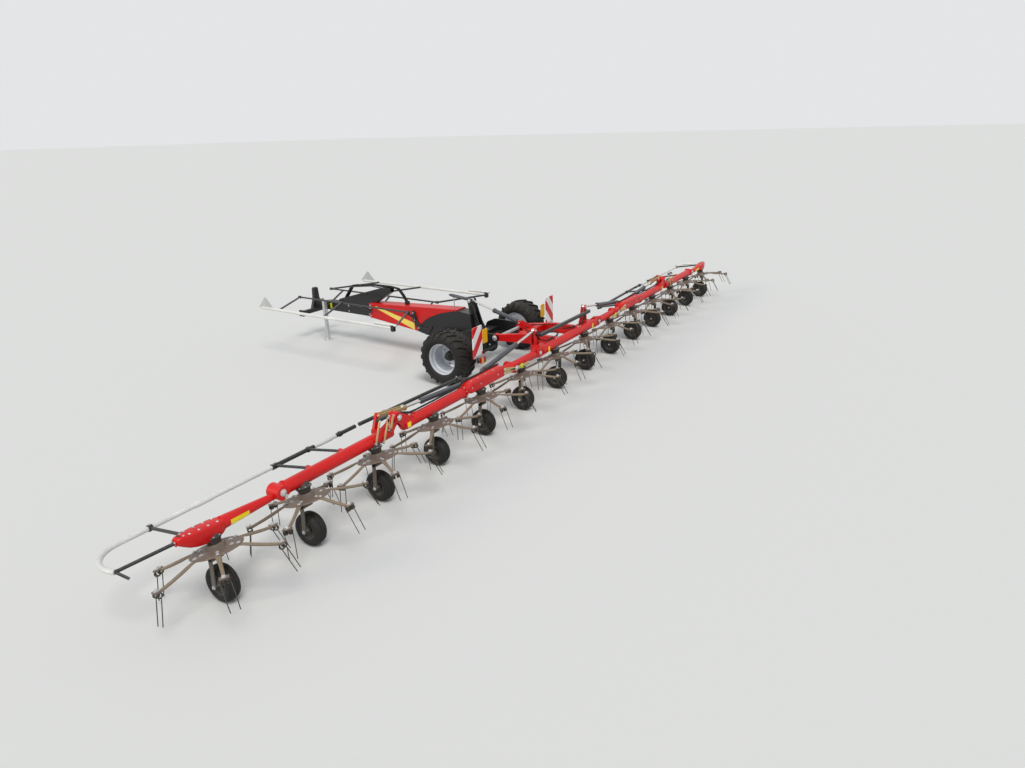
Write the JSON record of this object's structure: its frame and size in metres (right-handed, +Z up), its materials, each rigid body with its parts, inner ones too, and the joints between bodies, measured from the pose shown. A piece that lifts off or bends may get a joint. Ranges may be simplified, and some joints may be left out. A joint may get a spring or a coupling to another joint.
{
  "type": "hay tedder",
  "caption": "Wide trailed hay tedder: tined rotors on a folding boom behind a two-wheeled carrier with a long drawbar.",
  "frame": {"origin": "on the ground, in the middle of the machine's length and width with the boom unfolded", "axes": "+X to the machine's right, along the boom; +Y in the travel direction, towards the hitch; +Z up"},
  "size_m": [16.7678, 7.5734, 1.31],
  "materials": {
    "red_paint": "gloss",
    "black_paint": "satin",
    "white_paint": "gloss",
    "silver_paint": "satin",
    "dark_grey_paint": "satin",
    "rotor_steel": "satin",
    "zinc": "satin",
    "chrome": "gloss",
    "rubber": "matte",
    "board_white": "gloss",
    "lamp_red": "gloss"
  },
  "bodies": {
    "chassis": {"axle_frame": "black_paint", "main_beam": "red_paint", "drawbar_neck": "black_paint", "hose_rest": "black_paint", "lamp_bracket_right": "black_paint", "lamp_bracket_left": "black_paint", "warning_board_right": "board_white", "warning_board_left": "board_white", "tail_lamp_right": "lamp_red", "tail_lamp_left": "lamp_red", "side_guard_right": "white_paint", "side_guard_left": "white_paint"},
    "headstock": {"headstock": "black_paint"},
    "jack": {"jack_leg": "zinc"},
    "carrier": {"carrier_frame": "red_paint", "centre_beam": "red_paint"},
    "lift_barrel": {"lift_cylinder_barrel": "dark_grey_paint"},
    "lift_rod": {"lift_cylinder_rod": "chrome"},
    "gauge_centre": {"gauge_wheels_centre": "rubber"},
    "wheel_right": {"tyre_right": "rubber", "rim_right": "silver_paint"},
    "wing_right": {"wing_boom_right": "red_paint", "wing_guard_right": "black_paint"},
    "outer_right": {"outer_boom_right": "red_paint", "outer_guard_right": "white_paint", "fold_link_right": "zinc"},
    "wing_barrel_right": {"wing_cylinder_barrel_right": "dark_grey_paint"},
    "wing_rod_right": {"wing_cylinder_rod_right": "chrome"},
    "fold_barrel_right": {"fold_cylinder_barrel_right": "dark_grey_paint"},
    "fold_rod_right": {"fold_cylinder_rod_right": "chrome"},
    "gauge_wing_right": {"gauge_wheels_wing_right": "rubber"},
    "gauge_outer_right": {"gauge_wheels_outer_right": "rubber"},
    "wheel_left": {"tyre_left": "rubber", "rim_left": "silver_paint"},
    "wing_left": {"wing_boom_left": "red_paint", "wing_guard_left": "black_paint"},
    "outer_left": {"outer_boom_left": "red_paint", "outer_guard_left": "white_paint", "fold_link_left": "zinc"},
    "wing_barrel_left": {"wing_cylinder_barrel_left": "dark_grey_paint"},
    "wing_rod_left": {"wing_cylinder_rod_left": "chrome"},
    "fold_barrel_left": {"fold_cylinder_barrel_left": "dark_grey_paint"},
    "fold_rod_left": {"fold_cylinder_rod_left": "chrome"},
    "gauge_wing_left": {"gauge_wheels_wing_left": "rubber"},
    "gauge_outer_left": {"gauge_wheels_outer_left": "rubber"},
    "rotor_01": {"rotor_01": "rotor_steel"},
    "rotor_02": {"rotor_02": "rotor_steel"},
    "rotor_03": {"rotor_03": "rotor_steel"},
    "rotor_04": {"rotor_04": "rotor_steel"},
    "rotor_05": {"rotor_05": "rotor_steel"},
    "rotor_06": {"rotor_06": "rotor_steel"},
    "rotor_07": {"rotor_07": "rotor_steel"},
    "rotor_08": {"rotor_08": "rotor_steel"},
    "rotor_09": {"rotor_09": "rotor_steel"},
    "rotor_10": {"rotor_10": "rotor_steel"},
    "rotor_11": {"rotor_11": "rotor_steel"},
    "rotor_12": {"rotor_12": "rotor_steel"},
    "rotor_13": {"rotor_13": "rotor_steel"},
    "rotor_14": {"rotor_14": "rotor_steel"}
  },
  "joints": [
    {"name": "lift", "type": "hinge", "parent": "chassis", "child": "carrier", "pos_m": [0, -1.6033, 0.72], "axis": [-1, 0, 0], "range_deg": [0, 90]},
    {"name": "wing_fold_right", "type": "hinge", "parent": "carrier", "child": "wing_right", "pos_m": [1.16, -2.9033, 0.82], "axis": [0, -1, 0], "range_deg": [0, 90]},
    {"name": "wing_fold_left", "type": "hinge", "parent": "carrier", "child": "wing_left", "pos_m": [-1.16, -2.9033, 0.82], "axis": [0, 1, 0], "range_deg": [0, 90]},
    {"name": "outer_fold_right", "type": "hinge", "parent": "wing_right", "child": "outer_right", "pos_m": [4.78, -2.9033, 0.97], "axis": [0, -1, 0], "range_deg": [0, 180]},
    {"name": "outer_fold_left", "type": "hinge", "parent": "wing_left", "child": "outer_left", "pos_m": [-4.78, -2.9033, 0.97], "axis": [0, 1, 0], "range_deg": [0, 180]},
    {"name": "hitch_swivel", "type": "hinge", "parent": "chassis", "child": "headstock", "pos_m": [0, 3.4767, 0.75], "axis": [0, 0, 1], "range_deg": [-60, 60]},
    {"name": "wheel_spin_right", "type": "hinge", "parent": "chassis", "child": "wheel_right", "pos_m": [1.28, -1.0933, 0.505], "axis": [1, 0, 0], "continuous": true},
    {"name": "wheel_spin_left", "type": "hinge", "parent": "chassis", "child": "wheel_left", "pos_m": [-1.28, -1.0933, 0.505], "axis": [1, 0, 0], "continuous": true},
    {"name": "rotor_spin_07", "type": "hinge", "parent": "carrier", "child": "rotor_07", "pos_m": [-0.58, -2.96225, 0.6], "axis": [0, 0.2588, 0.9659], "continuous": true},
    {"name": "rotor_spin_01", "type": "hinge", "parent": "outer_left", "child": "rotor_01", "pos_m": [-7.54, -2.96225, 0.6], "axis": [0, 0.2588, 0.9659], "continuous": true},
    {"name": "rotor_spin_02", "type": "hinge", "parent": "outer_left", "child": "rotor_02", "pos_m": [-6.38, -2.96225, 0.6], "axis": [0, 0.2588, 0.9659], "continuous": true},
    {"name": "rotor_spin_03", "type": "hinge", "parent": "outer_left", "child": "rotor_03", "pos_m": [-5.22, -2.96225, 0.6], "axis": [0, 0.2588, 0.9659], "continuous": true},
    {"name": "rotor_spin_04", "type": "hinge", "parent": "wing_left", "child": "rotor_04", "pos_m": [-4.06, -2.96225, 0.6], "axis": [0, 0.2588, 0.9659], "continuous": true},
    {"name": "rotor_spin_05", "type": "hinge", "parent": "wing_left", "child": "rotor_05", "pos_m": [-2.9, -2.96225, 0.6], "axis": [0, 0.2588, 0.9659], "continuous": true},
    {"name": "rotor_spin_06", "type": "hinge", "parent": "wing_left", "child": "rotor_06", "pos_m": [-1.74, -2.96225, 0.6], "axis": [0, 0.2588, 0.9659], "continuous": true},
    {"name": "rotor_spin_08", "type": "hinge", "parent": "carrier", "child": "rotor_08", "pos_m": [0.58, -2.96225, 0.6], "axis": [0, 0.2588, 0.9659], "continuous": true},
    {"name": "rotor_spin_09", "type": "hinge", "parent": "wing_right", "child": "rotor_09", "pos_m": [1.74, -2.96225, 0.6], "axis": [0, 0.2588, 0.9659], "continuous": true},
    {"name": "rotor_spin_10", "type": "hinge", "parent": "wing_right", "child": "rotor_10", "pos_m": [2.9, -2.96225, 0.6], "axis": [0, 0.2588, 0.9659], "continuous": true},
    {"name": "rotor_spin_11", "type": "hinge", "parent": "wing_right", "child": "rotor_11", "pos_m": [4.06, -2.96225, 0.6], "axis": [0, 0.2588, 0.9659], "continuous": true},
    {"name": "rotor_spin_12", "type": "hinge", "parent": "outer_right", "child": "rotor_12", "pos_m": [5.22, -2.96225, 0.6], "axis": [0, 0.2588, 0.9659], "continuous": true},
    {"name": "rotor_spin_13", "type": "hinge", "parent": "outer_right", "child": "rotor_13", "pos_m": [6.38, -2.96225, 0.6], "axis": [0, 0.2588, 0.9659], "continuous": true},
    {"name": "rotor_spin_14", "type": "hinge", "parent": "outer_right", "child": "rotor_14", "pos_m": [7.54, -2.96225, 0.6], "axis": [0, 0.2588, 0.9659], "continuous": true},
    {"name": "gauge_spin_centre", "type": "hinge", "parent": "carrier", "child": "gauge_centre", "pos_m": [0, -2.9633, 0.2], "axis": [1, 0, 0], "continuous": true},
    {"name": "gauge_spin_wing_right", "type": "hinge", "parent": "wing_right", "child": "gauge_wing_right", "pos_m": [2.9, -2.9633, 0.2], "axis": [1, 0, 0], "continuous": true},
    {"name": "gauge_spin_outer_right", "type": "hinge", "parent": "outer_right", "child": "gauge_outer_right", "pos_m": [6.38, -2.9633, 0.2], "axis": [1, 0, 0], "continuous": true},
    {"name": "gauge_spin_wing_left", "type": "hinge", "parent": "wing_left", "child": "gauge_wing_left", "pos_m": [-2.9, -2.9633, 0.2], "axis": [1, 0, 0], "continuous": true},
    {"name": "gauge_spin_outer_left", "type": "hinge", "parent": "outer_left", "child": "gauge_outer_left", "pos_m": [-6.38, -2.9633, 0.2], "axis": [1, 0, 0], "continuous": true},
    {"name": "lift_barrel_pivot", "type": "hinge", "parent": "carrier", "child": "lift_barrel", "pos_m": [0, -1.8633, 0.94], "axis": [1, 0, 0], "range_deg": [0, 98.08]},
    {"name": "lift_rod_slide", "type": "slide", "parent": "lift_barrel", "child": "lift_rod", "axis": [0, 0.9602, 0.2793], "range_m": [-0.46531, 0]},
    {"name": "wing_barrel_pivot_right", "type": "hinge", "parent": "wing_right", "child": "wing_barrel_right", "pos_m": [2.56, -2.7333, 0.88], "axis": [0, -1, 0], "range_deg": [0, 1.56]},
    {"name": "wing_rod_slide_right", "type": "slide", "parent": "wing_barrel_right", "child": "wing_rod_right", "axis": [-0.988, 0, 0.1544], "range_m": [-0.52046, 0]},
    {"name": "fold_rod_slide_right", "type": "slide", "parent": "fold_barrel_right", "child": "fold_rod_right", "axis": [0.9973, 0, 0.0733], "range_m": [-0.3, 0]},
    {"name": "fold_barrel_pivot_right", "type": "hinge", "parent": "wing_right", "child": "fold_barrel_right", "pos_m": [3.06, -2.7333, 0.83], "axis": [0, -1, 0], "range_deg": [0, 2]},
    {"name": "wing_barrel_pivot_left", "type": "hinge", "parent": "wing_left", "child": "wing_barrel_left", "pos_m": [-2.56, -2.7333, 0.88], "axis": [0, 1, 0], "range_deg": [0, 1.56]},
    {"name": "wing_rod_slide_left", "type": "slide", "parent": "wing_barrel_left", "child": "wing_rod_left", "axis": [0.988, 0, 0.1544], "range_m": [-0.52046, 0]},
    {"name": "fold_rod_slide_left", "type": "slide", "parent": "fold_barrel_left", "child": "fold_rod_left", "axis": [-0.9973, 0, 0.0733], "range_m": [-0.3, 0]},
    {"name": "fold_barrel_pivot_left", "type": "hinge", "parent": "wing_left", "child": "fold_barrel_left", "pos_m": [-3.06, -2.7333, 0.83], "axis": [0, 1, 0], "range_deg": [0, 2]},
    {"name": "jack_slide", "type": "slide", "parent": "chassis", "child": "jack", "axis": [0, 0, 1], "range_m": [0, 0.3]}
  ],
  "couplings": [
    {"joint": "rotor_spin_01", "follows": "rotor_spin_07", "ratio": 1},
    {"joint": "rotor_spin_02", "follows": "rotor_spin_07", "ratio": -1},
    {"joint": "rotor_spin_03", "follows": "rotor_spin_07", "ratio": 1},
    {"joint": "rotor_spin_04", "follows": "rotor_spin_07", "ratio": -1},
    {"joint": "rotor_spin_05", "follows": "rotor_spin_07", "ratio": 1},
    {"joint": "rotor_spin_06", "follows": "rotor_spin_07", "ratio": -1},
    {"joint": "rotor_spin_08", "follows": "rotor_spin_07", "ratio": -1},
    {"joint": "rotor_spin_09", "follows": "rotor_spin_07", "ratio": 1},
    {"joint": "rotor_spin_10", "follows": "rotor_spin_07", "ratio": -1},
    {"joint": "rotor_spin_11", "follows": "rotor_spin_07", "ratio": 1},
    {"joint": "rotor_spin_12", "follows": "rotor_spin_07", "ratio": -1},
    {"joint": "rotor_spin_13", "follows": "rotor_spin_07", "ratio": 1},
    {"joint": "rotor_spin_14", "follows": "rotor_spin_07", "ratio": -1},
    {"joint": "lift_barrel_pivot", "follows": "lift", "ratio": 1.0898},
    {"joint": "lift_rod_slide", "follows": "lift", "m_per_rad": -0.29622},
    {"joint": "wing_barrel_pivot_right", "follows": "wing_fold_right", "ratio": 0.017352},
    {"joint": "wing_rod_slide_right", "follows": "wing_fold_right", "m_per_rad": -0.33133},
    {"joint": "fold_rod_slide_right", "follows": "outer_fold_right", "m_per_rad": -0.095493},
    {"joint": "fold_barrel_pivot_right", "follows": "outer_fold_right", "ratio": 0.011111},
    {"joint": "wing_barrel_pivot_left", "follows": "wing_fold_left", "ratio": 0.017352},
    {"joint": "wing_rod_slide_left", "follows": "wing_fold_left", "m_per_rad": -0.33133},
    {"joint": "fold_rod_slide_left", "follows": "outer_fold_left", "m_per_rad": -0.095493},
    {"joint": "fold_barrel_pivot_left", "follows": "outer_fold_left", "ratio": 0.011111}
  ]
}
